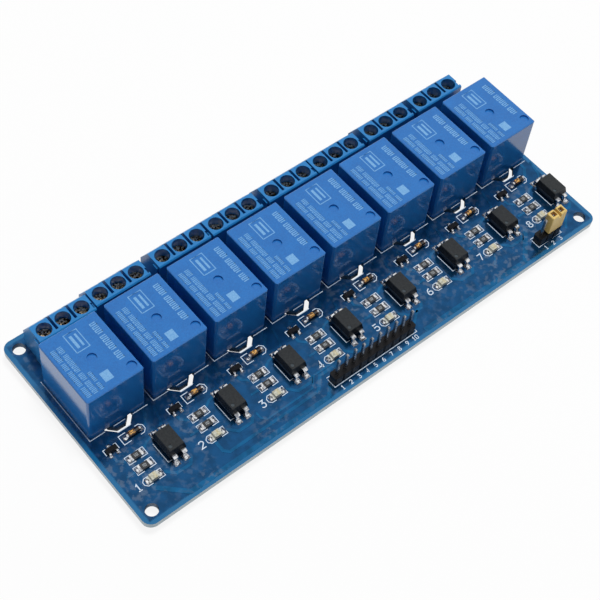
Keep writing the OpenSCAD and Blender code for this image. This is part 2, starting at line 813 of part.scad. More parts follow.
// Flat tinned pads under the feet of the surface parts of each channel
module solder_pads() {
    chip_pad = 1.1;
    color([0.78, 0.79, 0.80]) {
        each_channel(from_front(optocoupler_row)) for (x = [-0.5, 0.5], side = [-1, 1])
            pad(optocoupler_column + x * opto_lead_pitch, side * (opto_span / 2 - 0.5), 1.5, 1.7);
        each_channel(from_front(transistor_row))
            for (p = [[-0.5, -1], [0.5, -1], [0, 1]])
                pad(transistor_column + p[0] * transistor_pitch, p[1] * transistor_span / 2, 0.9, 0.9);
        each_channel(from_front(diode_row)) for (side = [-1, 1])
            pad(diode_column + side * (diode_l / 2 + 0.1), 0, diode_cap_l + diode_pad_out, diode_d);
        for (y = [led_row, lower_resistor_row, upper_resistor_row])
            each_channel(from_front(y)) for (side = [-1, 1])
                pad(light_column + side * (chip_l / 2 + 0.1), 0, chip_pad, chip_w);
    }
}

// Cone of solder round a lead, on the underside of the board
module solder_cone(lead, hole_d) {
    difference() {
        translate([0, 0, -solder_h])
            cylinder(d1 = norm(lead) + 0.2, d2 = hole_d + 0.8, h = solder_h);
        box(lead[0], lead[1], -solder_h - eps, solder_h + 2 * eps);
    }
}

module solder_joints() {
    color([0.78, 0.79, 0.80]) {
        for (i = [0:channels - 1]) translate([channel_x(i), relay_y, 0]) for (p = relay_leads)
            translate(p) solder_cone(p[0] == 0 ? [relay_lead_w, relay_lead_t]
                : [relay_lead_t, relay_lead_w], relay_hole_d);
        for (i = [0:channels - 1], p = poles)
            translate([terminal_x(i) + p * pole_pitch, terminal_y(i) + terminal_leg_y, 0])
                solder_cone([terminal_leg_t, terminal_leg_w], terminal_hole_d);
        pin_row(input_pins, input_x) solder_cone([pin_w, pin_w], pin_hole_d);
        pin_row(power_pins, power_x) solder_cone([pin_w, pin_w], pin_hole_d);
    }
}

// ---- nodes ----

circuit_board();
for (i = [0:channels - 1]) {
    relay_cover(i);
    terminal_housing(i);
    optocoupler(i);
}
relay_bases();
relay_yokes();
relay_cores();
relay_bobbins();
relay_coils();
relay_armatures();
relay_springs();
relay_fixed_contacts();
relay_pins();
terminal_screws();
terminal_clamps();
terminal_pins();
optocoupler_leads();
diode_bodies();
diode_caps();
transistor_bodies();
transistor_leads();
resistor_bodies();
resistor_caps();
led_bases();
led_lenses();
input_header_base();
input_header_pins();
power_header_base();
power_header_pins();
jumper_cap();
jumper_clip();
solder_pads();
solder_joints();
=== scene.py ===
# %% [markdown]
# # A relay module board
# Eight sealed relays stand in a row on one blue circuit board. Each has a screw terminal
# block behind it and a small driver circuit in front of it. The solid parts come from CAD
# with their true sizes; this lesson dresses them with print, tracks, solder and finishes.

# %% Load the frame
import math
import bmesh
import bpy
from mathutils import Matrix, Vector, geometry


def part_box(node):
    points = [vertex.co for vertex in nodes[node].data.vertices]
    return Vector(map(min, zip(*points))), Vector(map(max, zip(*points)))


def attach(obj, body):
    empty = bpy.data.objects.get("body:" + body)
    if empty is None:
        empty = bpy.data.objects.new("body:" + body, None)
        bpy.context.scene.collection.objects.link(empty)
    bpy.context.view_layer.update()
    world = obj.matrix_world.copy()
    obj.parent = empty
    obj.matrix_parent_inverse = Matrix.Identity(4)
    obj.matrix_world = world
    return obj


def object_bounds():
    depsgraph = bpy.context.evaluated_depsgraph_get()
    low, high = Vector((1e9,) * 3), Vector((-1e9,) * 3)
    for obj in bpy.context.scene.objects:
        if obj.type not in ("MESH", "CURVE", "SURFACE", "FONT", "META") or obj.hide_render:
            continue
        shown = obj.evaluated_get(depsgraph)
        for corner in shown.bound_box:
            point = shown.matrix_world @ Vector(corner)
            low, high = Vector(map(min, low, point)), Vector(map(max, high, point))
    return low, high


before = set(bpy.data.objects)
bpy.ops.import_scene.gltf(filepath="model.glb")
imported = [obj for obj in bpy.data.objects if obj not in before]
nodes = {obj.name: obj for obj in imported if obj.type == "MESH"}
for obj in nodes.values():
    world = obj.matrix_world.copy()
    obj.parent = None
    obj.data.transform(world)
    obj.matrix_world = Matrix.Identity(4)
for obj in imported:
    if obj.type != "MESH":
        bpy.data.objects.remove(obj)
cad_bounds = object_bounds()
print(len(nodes), "CAD nodes, overall", [round(s * 1000, 1) for s in cad_bounds[1] - cad_bounds[0]], "mm")

# %% [markdown]
# ## Where things are
# A dressing piece only fits if it takes its place from the part that it belongs to. So the
# relay covers give the middle of each channel, and the pieces of the shared nodes are
# measured inside one channel's width. Lengths are written in millimetres times MM.

# %% Measure the channels
MM = 0.001
CHANNELS = range(1, 9)
board_low, board_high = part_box("circuit_board")
TOP = board_high.z


def middle(node):
    low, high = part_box(node)
    return (low + high) / 2


channel_x = {n: middle(f"relay_cover_{n}").x for n in CHANNELS}
PITCH = (channel_x[8] - channel_x[1]) / 7
relay_low, relay_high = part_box("relay_cover_1")


def in_first_channel(node, low_y=-1.0, high_y=1.0):
    """Box of what a shared node has in the first channel, between two values of y."""
    found = [v.co for v in nodes[node].data.vertices
             if abs(v.co.x - channel_x[1]) < PITCH / 2 and low_y < v.co.y < high_y]
    return [Vector(pick(p[k] for p in found) for k in range(3)) for pick in (min, max)]


print("channel pitch", round(PITCH * 1000, 2), "mm; board top at", round(TOP * 1000, 2), "mm")

# %% [markdown]
# ## Camera
# Product pictures of a long board are often taken with a long lens, from well above one
# front corner, so that the row runs up across the picture. The camera stands back along
# that line of sight and is rolled a little about it.

# %% Place the camera
AIM = Vector((-6.567 * MM, -2.647 * MM, TOP))
AZIMUTH, ELEVATION, ROLL = math.radians(-46.244), math.radians(55.335), math.radians(7.899)
DISTANCE = 338.92 * MM
back = Vector((math.sin(AZIMUTH) * math.cos(ELEVATION),
               -math.cos(AZIMUTH) * math.cos(ELEVATION), math.sin(ELEVATION)))
bpy.ops.object.camera_add(location=AIM + back * DISTANCE)
camera = bpy.context.object
camera.rotation_euler = ((-back).to_track_quat("-Z", "Y").to_matrix()
                         @ Matrix.Rotation(ROLL, 3, "Z")).to_euler()
camera.data.lens, camera.data.sensor_width = 84.17, 36
camera.data.clip_start, camera.data.clip_end = 0.01, 10
bpy.context.scene.camera = camera
bpy.context.scene.view_settings.view_transform = "Standard"
print("camera at", [round(c * 1000) for c in camera.location], "mm")

# %% [markdown]
# ## Floor and light
# The board lies on its soldered leads on a pale table. One soft lamp nearly
# overhead lights the tops of the relays and the board, and leaves the gaps between the
# relays dark. A dim surround fills in the rest.
# The table and the surround look white to the camera and in reflections, which puts a
# pale sheen on the glossy sides, while the table keeps a faint shadow. Under the board the
# table's white is left out of reflections, a painted shadow where the board lies on it.

# %% Node helpers
def node(tree, kind, sockets=None, **settings):
    """Adds a node, sets it up, and links or fills its sockets."""
    made = tree.nodes.new("ShaderNode" + kind)
    for name, value in settings.items():
        setattr(made, name, value)
    for name, value in (sockets or {}).items():
        if isinstance(value, bpy.types.NodeSocket):
            tree.links.new(value, made.inputs[name])
        else:
            made.inputs[name].default_value = value
    return made


def math_node(tree, operation, *values):
    """Output of a Math node."""
    return node(tree, "Math", dict(enumerate(values)), operation=operation).outputs[0]


# %% Floor
def seen_directly(tree, in_reflections):
    """1 for rays that show a surface to the camera or through glass, or in a reflection."""
    path = node(tree, "LightPath").outputs
    straight = math_node(tree, "MAXIMUM", path["Is Camera Ray"], path["Is Transmission Ray"])
    mirrored = math_node(tree, "MULTIPLY", path["Is Glossy Ray"], in_reflections)
    return math_node(tree, "MAXIMUM", straight, mirrored)


def beyond_board(tree):
    """1 on the table outside the board's outline, 0 under it."""
    spot = node(tree, "SeparateXYZ", {0: node(tree, "TexCoord").outputs["Object"]}).outputs
    out = [math_node(tree, "GREATER_THAN", math_node(tree, "ABSOLUTE", spot[way]), half)
           for way, half in (("X", board_high.x), ("Y", board_high.y))]
    return math_node(tree, "MAXIMUM", *out)


bpy.ops.mesh.primitive_plane_add(size=4, location=(0, 0, cad_bounds[0].z - 0.01 * MM))
floor = bpy.context.object
floor.name = "floor"
pale = bpy.data.materials.new("pale_table")
pale.use_nodes = True
tree = pale.node_tree
tree.nodes.clear()
matt = node(tree, "BsdfDiffuse", {"Color": (0.9, 0.9, 0.9, 1)})
white = node(tree, "Emission", {"Color": (1, 1, 1, 1), "Strength": 1.0})
# Painted shadow: reflections see the table's white only beyond the board's outline
share = math_node(tree, "MULTIPLY", seen_directly(tree, beyond_board(tree)), 0.88)
mixed = node(tree, "MixShader", {0: share, 1: matt.outputs[0], 2: white.outputs[0]})
node(tree, "OutputMaterial", {"Surface": mixed.outputs[0]})
floor.data.materials.append(pale)

# %% Surround and lamps
world = bpy.data.worlds.new("surround")
bpy.context.scene.world = world
world.use_nodes = True
tree = world.node_tree
tree.nodes.clear()
SURROUND = 0.22
level = node(tree, "MapRange", {"Value": seen_directly(tree, 1.0), "To Min": SURROUND, "To Max": 1.0})
sky = node(tree, "Background", {"Color": (1, 1, 1, 1), "Strength": level.outputs[0]})
node(tree, "OutputWorld", {"Surface": sky.outputs[0]})


def add_lamp(name, place, size, watts):
    """A square lamp that faces the middle of the board, and that no surface mirrors."""
    bpy.ops.object.light_add(type="AREA", location=place)
    lamp = bpy.context.object
    lamp.name = name
    lamp.data.size, lamp.data.energy = size, watts
    lamp.rotation_euler = (-Vector(place)).to_track_quat("-Z", "Y").to_euler()
    lamp.visible_glossy = False
    return lamp


add_lamp("top_lamp", (0.14, 0.06, 1.05), 0.3, 9.0)
print("surround", SURROUND)

# %% [markdown]
# ## Finishes
# Every finish is a Principled shader with a little procedural detail on Object
# coordinates. The objects all sit at the origin, so these are the real places in metres.

# %% Finish helpers
def new_finish(name, **sockets):
    """A material whose constant values are set on the shader's own sockets."""
    made = bpy.data.materials.new(name)
    made.use_nodes = True
    shader = made.node_tree.nodes["Principled BSDF"]
    for socket, value in sockets.items():
        shader.inputs[socket.replace("_", " ")].default_value = value
    return made, made.node_tree, shader


def place(tree, scale=(1, 1, 1)):
    """Object coordinates, stretched by scale."""
    coordinates = node(tree, "TexCoord").outputs["Object"]
    return node(tree, "Mapping", {"Vector": coordinates, "Scale": scale}).outputs[0]


def noise(tree, size_mm, stretch=(1, 1, 1), detail=3.0):
    """Soft noise whose blots are about size_mm across."""
    return node(tree, "TexNoise", {"Vector": place(tree, stretch), "Scale": 1 / (size_mm * MM),
                                   "Detail": detail}).outputs["Fac"]


def spread(tree, value, low, high, from_low=0.3, from_high=0.7):
    """Maps a pattern onto a range of values."""
    return node(tree, "MapRange", {"Value": value, "From Min": from_low, "From Max": from_high,
                                   "To Min": low, "To Max": high}).outputs[0]


def blend(tree, share, first, second):
    """Mixes two colours by share."""
    made = node(tree, "Mix", data_type="RGBA")
    for socket, value in ((0, share), (6, first), (7, second)):
        if isinstance(value, bpy.types.NodeSocket):
            tree.links.new(value, made.inputs[socket])
        else:
            made.inputs[socket].default_value = value
    return made.outputs[2]


def bump(tree, shader, height, depth_mm, strength=1.0):
    """Turns a pattern into small hills depth_mm high."""
    made = node(tree, "Bump", {"Height": height, "Distance": depth_mm * MM, "Strength": strength})
    tree.links.new(made.outputs[0], shader.inputs["Normal"])


def moulded_plastic(name, colour, darker, roughness, grain_mm=0.12, grain_depth=0.004, ior=1.5,
                    polish=1.0):
    """Injection moulded plastic: faint cloudiness, a fine grain, uneven gloss. The sides leave
    a polished mould smoother than the top, by polish."""
    made, tree, shader = new_finish(name, IOR=ior)
    cloud = math_node(tree, "ADD", math_node(tree, "MULTIPLY", noise(tree, 4), 0.4),
                      math_node(tree, "MULTIPLY", noise(tree, 0.35, detail=2), 0.6))
    tree.links.new(blend(tree, spread(tree, cloud, 0, 1, 0.38, 0.62), colour, darker),
                   shader.inputs["Base Color"])
    gloss = spread(tree, noise(tree, 1.5, detail=5), roughness * 0.93, roughness * 1.07)
    upright = node(tree, "SeparateXYZ", {0: node(tree, "NewGeometry").outputs["Normal"]}).outputs["Z"]
    facing = spread(tree, upright, polish, 1.0, 0.3, 0.7)
    tree.links.new(math_node(tree, "MULTIPLY", gloss, facing), shader.inputs["Roughness"])
    bump(tree, shader, noise(tree, grain_mm), grain_depth)
    return made


def bright_metal(name, colour, darker, roughness, mottle_mm=0.4, patch=(0.3, 0.7)):
    """Plated or soldered metal: mottled tint and gloss, slightly uneven. A narrow patch range
    makes distinct patches: stains, as dried flux leaves, and on the screws painted glints on
    painted shade."""
    made, tree, shader = new_finish(name, Metallic=1.0)
    tree.links.new(blend(tree, spread(tree, noise(tree, mottle_mm, detail=4), 0, 1, *patch), colour, darker),
                   shader.inputs["Base Color"])
    tree.links.new(spread(tree, noise(tree, mottle_mm * 0.6), roughness * 0.7, roughness * 1.4),
                   shader.inputs["Roughness"])
    bump(tree, shader, noise(tree, mottle_mm), 0.01)
    return made


# %% Plastics and metals
# Each plastic: colour, darker cloud, roughness, then grain size and depth, index and side polish
plastics = {
    "relay_plastic": ((0.013, 0.162, 0.50, 1), (0.011, 0.134, 0.43, 1), 0.3, 0.16, 0.002, 1.55, 0.4),
    "relay_base_plastic": ((0.004, 0.10, 0.34, 1), (0.004, 0.08, 0.3, 1), 0.45),
    "terminal_plastic": ((0.018, 0.21, 0.52, 1), (0.014, 0.18, 0.47, 1), 0.3),
    "bobbin_plastic": ((0.78, 0.76, 0.68, 1), (0.72, 0.7, 0.6, 1), 0.45),
    "black_epoxy": ((0.004, 0.004, 0.005, 1), (0.002, 0.002, 0.003, 1), 0.5, 0.06, 0.012, 1.35),
    "header_plastic": ((0.004, 0.004, 0.005, 1), (0.007, 0.007, 0.008, 1), 0.4, 0.1, 0.006, 1.3),
    "jumper_plastic": ((0.78, 0.58, 0.20, 1), (0.66, 0.45, 0.14, 1), 0.42),
}
# Each metal: colour, darker mottle, roughness, then mottle size and patch range
metals = {
    "soft_iron": ((0.55, 0.55, 0.57, 1), (0.42, 0.42, 0.44, 1), 0.35, 0.8),
    "contact_bronze": ((0.8, 0.48, 0.25, 1), (0.6, 0.33, 0.16, 1), 0.25, 0.8),
    "tinned_metal": ((0.80, 0.81, 0.82, 1), (0.26, 0.27, 0.30, 1), 0.2, 0.6, (0.42, 0.62)),
    "header_pin_metal": ((0.42, 0.43, 0.45, 1), (0.24, 0.24, 0.25, 1), 0.22, 0.4),
    # The screws' patches are painted glints on a nearly black ground of painted shade
    "plated_screw": ((0.92, 0.80, 0.60, 1), (0.018, 0.014, 0.010, 1), 0.16, 0.5, (0.44, 0.56)),
    "clamp_brass": ((0.50, 0.36, 0.17, 1), (0.12, 0.08, 0.04, 1), 0.3, 0.6),
    "solder": ((0.85, 0.86, 0.87, 1), (0.20, 0.21, 0.24, 1), 0.2, 0.5, (0.46, 0.62)),
    "pad_metal": ((0.40, 0.42, 0.46, 1), (0.05, 0.06, 0.09, 1), 0.3, 0.45, (0.42, 0.58)),
}
finish = {name: moulded_plastic(name, *look) for name, look in plastics.items()}
finish.update({name: bright_metal(name, *look) for name, look in metals.items()})
print(len(finish), "plastics and metals")

# %% [markdown]
# ## Special finishes
# The enamelled winding shows its turns as fine rings, with painted shade between them. The
# diode is a glass bead with a black cathode band near its right end, and painted glints in
# streaks, brightest at the top of the glass, stand for gilded leads and the chip inside. The
# light has a cloudy resin lens. The chip resistors are glazed black, and an optocoupler has a
# paler moulded spot over its first pin, and painted shade on its sides below the top.

# %% Winding
made, tree, shader = new_finish("copper_wire", Metallic=1.0, Roughness=0.3)
turns = node(tree, "TexWave", {"Vector": place(tree), "Scale": 1 / (0.9 * MM), "Distortion": 0.4},
             bands_direction="Z").outputs["Fac"]
# Painted shade: the rings are darker in the creases between the turns
tree.links.new(blend(tree, turns, (0.30, 0.09, 0.03, 1), (0.75, 0.30, 0.12, 1)),
               shader.inputs["Base Color"])
bump(tree, shader, turns, 0.04)
finish["copper_wire"] = made


# %% Glass, glaze and resin
def along_channel(tree, from_x):
    """Distance along X in metres from the same point, from_x, of every channel."""
    x = node(tree, "SeparateXYZ", {0: place(tree)}).outputs["X"]
    shifted = node(tree, "Math", {0: x, 1: from_x - 3 * PITCH}, operation="SUBTRACT")
    wrapped = node(tree, "Math", {0: shifted.outputs[0], 1: PITCH / 2, 2: -PITCH / 2}, operation="WRAP")
    return wrapped.outputs[0]


def between(tree, value, low, high):
    """1 where value lies between low and high."""
    return node(tree, "Math", {0: value, 1: (low + high) / 2, 2: abs(high - low) / 2},
                operation="COMPARE").outputs[0]


diode_low, diode_high = in_first_channel("diode_bodies")
diode_mid = (diode_low + diode_high) / 2
made, tree, shader = new_finish("diode_glass", Roughness=0.07, IOR=1.52, Coat_Weight=0.5)
bead = along_channel(tree, diode_mid.x)
height = node(tree, "SeparateXYZ", {0: place(tree)}).outputs["Z"]
# Painted glints: gold streaks in the middle of the bead, brighter towards its top
streaks = spread(tree, noise(tree, 0.22, (0.35, 1, 1), 3), 0.0, 1.0, 0.42, 0.58)
shows = math_node(tree, "MULTIPLY", between(tree, bead, -0.95 * MM, 0.4 * MM),
                  spread(tree, height, 0.15, 1.0, diode_mid.z + 0.15 * MM, diode_mid.z + 0.45 * MM))
painted_glint = blend(tree, math_node(tree, "MULTIPLY", streaks, shows), (0.055, 0.022, 0.010, 1),
              (0.95, 0.50, 0.11, 1))
band = between(tree, bead, 0.45 * MM, 1.25 * MM)
tree.links.new(blend(tree, band, painted_glint, (0.010, 0.007, 0.006, 1)), shader.inputs["Base Color"])
finish["diode_glass"] = made

opto_low, opto_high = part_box("optocoupler_1")
SPOT_IN, SPOT_UP, SPOT_R = 1.15 * MM, 1.35 * MM, 0.45 * MM
made, tree, shader = new_finish("opto_epoxy", IOR=1.35, Roughness=0.42)
spot = node(tree, "SeparateXYZ", {0: place(tree)}).outputs
reach = [math_node(tree, "POWER", math_node(tree, "ABSOLUTE", value), 2.0) for value in (
    along_channel(tree, opto_low.x + SPOT_IN), math_node(tree, "SUBTRACT", spot["Y"], opto_low.y + SPOT_UP))]
inside = math_node(tree, "LESS_THAN", math_node(tree, "ADD", *reach), SPOT_R ** 2)
on_top = math_node(tree, "GREATER_THAN", spot["Z"], opto_high.z - 0.3 * MM)
body = blend(tree, spread(tree, noise(tree, 0.5, detail=5), 0, 1, 0.4, 0.6), (0.024, 0.027, 0.029, 1),
             (0.016, 0.018, 0.020, 1))
# Painted shade: below its top the body is painted nearly black
body = blend(tree, on_top, (0.004, 0.005, 0.007, 1), body)
tree.links.new(blend(tree, math_node(tree, "MULTIPLY", inside, on_top), body, (0.055, 0.068, 0.078, 1)),
               shader.inputs["Base Color"])
bump(tree, shader, noise(tree, 0.07), 0.008)
finish["opto_epoxy"] = made

finish["resistor_glaze"] = moulded_plastic(
    "resistor_glaze", (0.016, 0.018, 0.021, 1), (0.03, 0.032, 0.034, 1), 0.2, 0.1, 0.003)

made, tree, shader = new_finish("led_substrate", Roughness=0.4)
tree.links.new(blend(tree, noise(tree, 0.5), (0.50, 0.51, 0.48, 1), (0.62, 0.63, 0.60, 1)),
               shader.inputs["Base Color"])
finish["led_substrate"] = made

light_low, light_high = in_first_channel("led_lenses")
light_centre = (light_low + light_high) / 2
made, tree, shader = new_finish("led_resin", Roughness=0.2, Coat_Weight=0.4)
chip = between(tree, along_channel(tree, light_centre.x + 0.25 * MM), -0.28 * MM, 0.28 * MM)
cloudy = blend(tree, spread(tree, noise(tree, 0.45, detail=5), 0, 1, 0.42, 0.6), (0.60, 0.60, 0.50, 1),
               (0.40, 0.39, 0.29, 1))
tree.links.new(blend(tree, math_node(tree, "MULTIPLY", chip, 0.3), cloudy, (0.66, 0.50, 0.16, 1)),
               shader.inputs["Base Color"])
finish["led_resin"] = made
print(len(finish), "finishes so far")

# %% [markdown]
# ## Solder mask
# A circuit board is glass cloth in resin with copper foil on it, under a clear film of
# coloured mask. Light that gets through the film is thrown back by the foil, so the board
# mirrors what stands on it in deep blue: most of this finish is metal, the rest enamel. A
# strip along the rim has no foil on either side; there a lighter teal is painted for the
# pale table shining through. The sawn edge shows the pale laminate in thin layers, and a
# drilled or routed wall is painted dark blue for the shade inside the slots and holes. One
# finish covers the board, and the place on the board tells these apart.

# %% Board finishes
OVER_LAMINATE = (0.006, 0.078, 0.215, 1)
OVER_COPPER = (0.010, 0.120, 0.290, 1)
RIM_GLOW = (0.006, 0.135, 0.32, 1)
SHEEN = 0.75  # how much of the mask's finish is metal
SKIN = 0.03 * MM  # what lies deeper in the board than this is wall, not face
GLOW_FULL, GLOW_GONE = 1.1 * MM, 1.5 * MM  # from the rim inwards
SAWN_DEPTH = 0.4 * MM  # walls nearer the rim than this are sawn, the others drilled
CORNER_DEPTH = 1.8 * MM


def mask_colour(tree, colour):
    """Mask of one tint with faint clouds in it, and pale patches of dried flux
    whose colour also paints a haze of reflected light.
    """
    deeper = tuple(c * 0.7 for c in colour[:3]) + (1,)
    tint = blend(tree, spread(tree, noise(tree, 2.2, detail=9), 0, 1, 0.38, 0.62), colour, deeper)
    # Partly painted reflection: the pale film is dried flux and also a painted haze of sheen
    film = math_node(tree, "MULTIPLY", spread(tree, noise(tree, 1.6, detail=10), 0, 1, 0.5, 0.6),
                     spread(tree, noise(tree, 14), 0, 0.45, 0.42, 0.6))
    return blend(tree, film, tint, (0.15, 0.21, 0.30, 1))


def mask_gloss(tree, shader):
    """Glossy film over the weave of the glass cloth, dull in places from dried flux."""
    tree.links.new(spread(tree, noise(tree, 7, detail=6), 0.10, 0.20), shader.inputs["Roughness"])
    weave = [node(tree, "TexWave", {"Vector": place(tree), "Scale": 1 / (3.2 * MM), "Distortion": 1.0},
                  bands_direction=way).outputs["Fac"] for way in "XY"]
    bump(tree, shader, math_node(tree, "ADD", *weave), 0.0012)


made, tree, shader = new_finish("solder_mask", IOR=1.5)
spot = node(tree, "SeparateXYZ", {0: place(tree)}).outputs
far_x, far_y = (math_node(tree, "ABSOLUTE", spot[way]) for way in "XY")
half_x, half_y = board_high.x, board_high.y
to_rim = math_node(tree, "MINIMUM", math_node(tree, "SUBTRACT", half_x, far_x),
                   math_node(tree, "SUBTRACT", half_y, far_y))
# Painted light: a lighter teal strip along the rim for the pale table shining through
glow = spread(tree, math_node(tree, "ADD", to_rim, math_node(tree, "MULTIPLY", noise(tree, 2), 0.4 * MM)),
              1.0, 0.0, GLOW_FULL, GLOW_GONE)
side = between(tree, spot["Z"], SKIN, TOP - SKIN)
corner = math_node(tree, "GREATER_THAN", math_node(tree, "ADD", far_x, far_y),
                   half_x + half_y - CORNER_DEPTH)
outer = math_node(tree, "MAXIMUM", math_node(tree, "LESS_THAN", to_rim, SAWN_DEPTH), corner)
plies = node(tree, "TexNoise", {"Vector": place(tree, (1, 1, 9)), "Scale": 1 / (1.4 * MM), "Detail": 4.0})
laminate = blend(tree, spread(tree, plies.outputs["Fac"], 0, 1), (0.46, 0.55, 0.58, 1), (0.28, 0.38, 0.44, 1))
# Painted shade: walls inside the board are dark blue, the sawn rim keeps its pale laminate
wall = blend(tree, outer, (0.055, 0.14, 0.26, 1), laminate)
face = blend(tree, glow, mask_colour(tree, OVER_LAMINATE), RIM_GLOW)
tree.links.new(blend(tree, side, face, wall), shader.inputs["Base Color"])
foil = math_node(tree, "MULTIPLY", math_node(tree, "SUBTRACT", 1.0, side),
                 spread(tree, glow, SHEEN, SHEEN / 3, 0, 1))
tree.links.new(foil, shader.inputs["Metallic"])
mask_gloss(tree, shader)
finish["solder_mask"] = made

made, tree, shader = new_finish("mask_over_copper", IOR=1.5, Metallic=SHEEN + 0.1)
tree.links.new(mask_colour(tree, OVER_COPPER), shader.inputs["Base Color"])
mask_gloss(tree, shader)
finish["mask_over_copper"] = made

made, tree, shader = new_finish("board_ink", Roughness=0.45)
tree.links.new(blend(tree, spread(tree, noise(tree, 0.3, detail=5), 0, 1), (0.78, 0.87, 0.96, 1),
                     (0.58, 0.70, 0.84, 1)), shader.inputs["Base Color"])
finish["board_ink"] = made

for name, strong, weak in (("relay_ink", (0.22, 0.45, 0.74, 1), (0.12, 0.33, 0.64, 1)),
                           ("relay_ink_fine", (0.20, 0.43, 0.72, 1), (0.09, 0.29, 0.61, 1)),
                           ("chip_ink", (0.50, 0.53, 0.54, 1), (0.24, 0.26, 0.27, 1))):
    made, tree, shader = new_finish(name, Roughness=0.35)
    tree.links.new(blend(tree, spread(tree, noise(tree, 0.3, detail=5), 0, 1), strong, weak),
                   shader.inputs["Base Color"])
    finish[name] = made
print(len(finish), "finishes")

# %% [markdown]
# ## Dress the CAD nodes
# A CAD node keeps its mesh and its place, and only the material in its slots changes.

# %% Give every node its finish
node_finish = {
    "circuit_board": "solder_mask", "relay_cover": "relay_plastic", "relay_bases": "relay_base_plastic",
    "relay_yokes": "soft_iron", "relay_cores": "soft_iron", "relay_bobbins": "bobbin_plastic",
    "relay_coils": "copper_wire", "relay_armatures": "soft_iron", "relay_springs": "contact_bronze",
    "relay_fixed_contacts": "contact_bronze", "relay_pins": "tinned_metal",
    "terminal_housing": "terminal_plastic", "terminal_screws": "plated_screw",
    "terminal_clamps": "clamp_brass", "terminal_pins": "tinned_metal", "optocoupler_leads": "tinned_metal",
    "optocoupler": "opto_epoxy", "diode_bodies": "diode_glass", "diode_caps": "tinned_metal",
    "transistor_bodies": "black_epoxy", "transistor_leads": "tinned_metal",
    "resistor_bodies": "resistor_glaze", "resistor_caps": "tinned_metal", "led_bases": "led_substrate",
    "led_lenses": "led_resin", "input_header_base": "header_plastic", "input_header_pins": "header_pin_metal",
    "power_header_base": "header_plastic", "power_header_pins": "header_pin_metal",
    "jumper_cap": "jumper_plastic", "jumper_clip": "contact_bronze", "solder_pads": "pad_metal",
    "solder_joints": "solder",
}
for name, part in nodes.items():
    family = name if name in node_finish else name.rsplit("_", 1)[0]
    if not part.data.materials:
        part.data.materials.append(None)
    for k in range(len(part.data.materials)):
        part.data.materials[k] = finish[node_finish[family]]
print("finished", len(nodes), "nodes")

# %% [markdown]
# ## Flat lines: print and tracks
# Screen print and copper tracks are strips of even width that turn corners. A curve with a
# bevel would thin at its corners, so each strip starts as a plane, and its end edge is
# pulled out from corner to corner, with every corner mitred. One extrusion then gives a
# whole set of strips its thickness.

# %% Line tools
def deselect_all():
    bpy.ops.object.select_all(action="DESELECT")


def lay_line(points, width):
    """A flat strip of that width through points (x, y) in mm, pulled out section by section."""
    path = [Vector(p) for p in points]
    sections = []
    for k, p in enumerate(path):
        first = max(k - 1, 0)
        ways = [(b - a).normalized() for a, b in zip(path[first:k + 1], path[first + 1:k + 2])]
        along = sum(ways, Vector((0, 0))).normalized()
        reach = width / 2 / max(along.dot(ways[0]), 0.3)
        side = Vector((-along.y, along.x)) * reach
        sections.append((p + side, p - side))
    deselect_all()
    bpy.ops.mesh.primitive_plane_add(size=1)
    strip = bpy.context.object
    bpy.ops.object.mode_set(mode="EDIT")
    shape = bmesh.from_edit_mesh(strip.data)
    tail = sorted((v for v in shape.verts if v.co.x < 0), key=lambda v: -v.co.y)
    head = sorted((v for v in shape.verts if v.co.x > 0), key=lambda v: -v.co.y)
    for pair, section in ((tail, sections[0]), (head, sections[1])):
        for v, spot in zip(pair, section):
            v.co = (spot.x * MM, spot.y * MM, 0)
    bpy.ops.mesh.select_mode(type="VERT")
    for section in sections[2:]:
        bpy.ops.mesh.select_all(action="DESELECT")
        for v in head:
            v.select = True
        shape.select_flush_mode()
        bpy.ops.mesh.extrude_edges_move()
        shape = bmesh.from_edit_mesh(strip.data)
        head = [v for v in shape.verts if v.select]
        centre = sum((Vector(s) for s in section), Vector((0, 0))) / 2
        across = Vector(section[0]) - centre
        head.sort(key=lambda v: -across.dot(v.co.xy - sum((h.co.xy for h in head), Vector((0, 0))) / 2))
        for v, spot in zip(head, section):
            v.co = (spot.x * MM, spot.y * MM, 0)
    bpy.ops.object.mode_set(mode="OBJECT")
    return strip


def join(parts, name):
    """Joins parts into one object of that name."""
    deselect_all()
    for part in parts:
        part.select_set(True)
    bpy.context.view_layer.objects.active = parts[0]
    if len(parts) > 1:
        bpy.ops.object.join()
    parts[0].name = parts[0].data.name = name
    return parts[0]


def thicken(flat, low, high):
    """Turns flat faces into a film between two heights in metres, with its faces outwards."""
    deselect_all()
    flat.select_set(True)
    bpy.context.view_layer.objects.active = flat
    bpy.ops.object.mode_set(mode="EDIT")
    bpy.ops.mesh.select_all(action="SELECT")
    bpy.ops.mesh.normals_make_consistent(inside=False)
    bpy.ops.mesh.extrude_region_move(TRANSFORM_OT_translate={"value": (0, 0, high - low)})
    bpy.ops.mesh.select_all(action="SELECT")
    bpy.ops.mesh.normals_make_consistent(inside=False)
    bpy.ops.transform.translate(value=(0, 0, low))
    bpy.ops.object.mode_set(mode="OBJECT")
    return flat


def dress(piece, material):
    """Gives a finished piece its material and its body."""
    piece.data.materials.clear()
    piece.data.materials.append(finish[material])
    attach(piece, "root")
    return piece


def copies_along(piece, family, offsets):
    """Copies a finished piece, each copy with its own mesh moved by its offset, and names all."""
    made = []
    for n, offset in offsets.items():
        deselect_all()
        twin = piece.copy()
        twin.data = piece.data.copy()
        bpy.context.collection.objects.link(twin)
        twin.data.transform(Matrix.Translation(offset))
        twin.name = twin.data.name = f"{family}_{n}"
        made.append(twin)
    bpy.data.objects.remove(piece)
    return made


by_channel = {n: Vector(((n - 1) * PITCH, 0, 0)) for n in CHANNELS}
print("line tools ready")

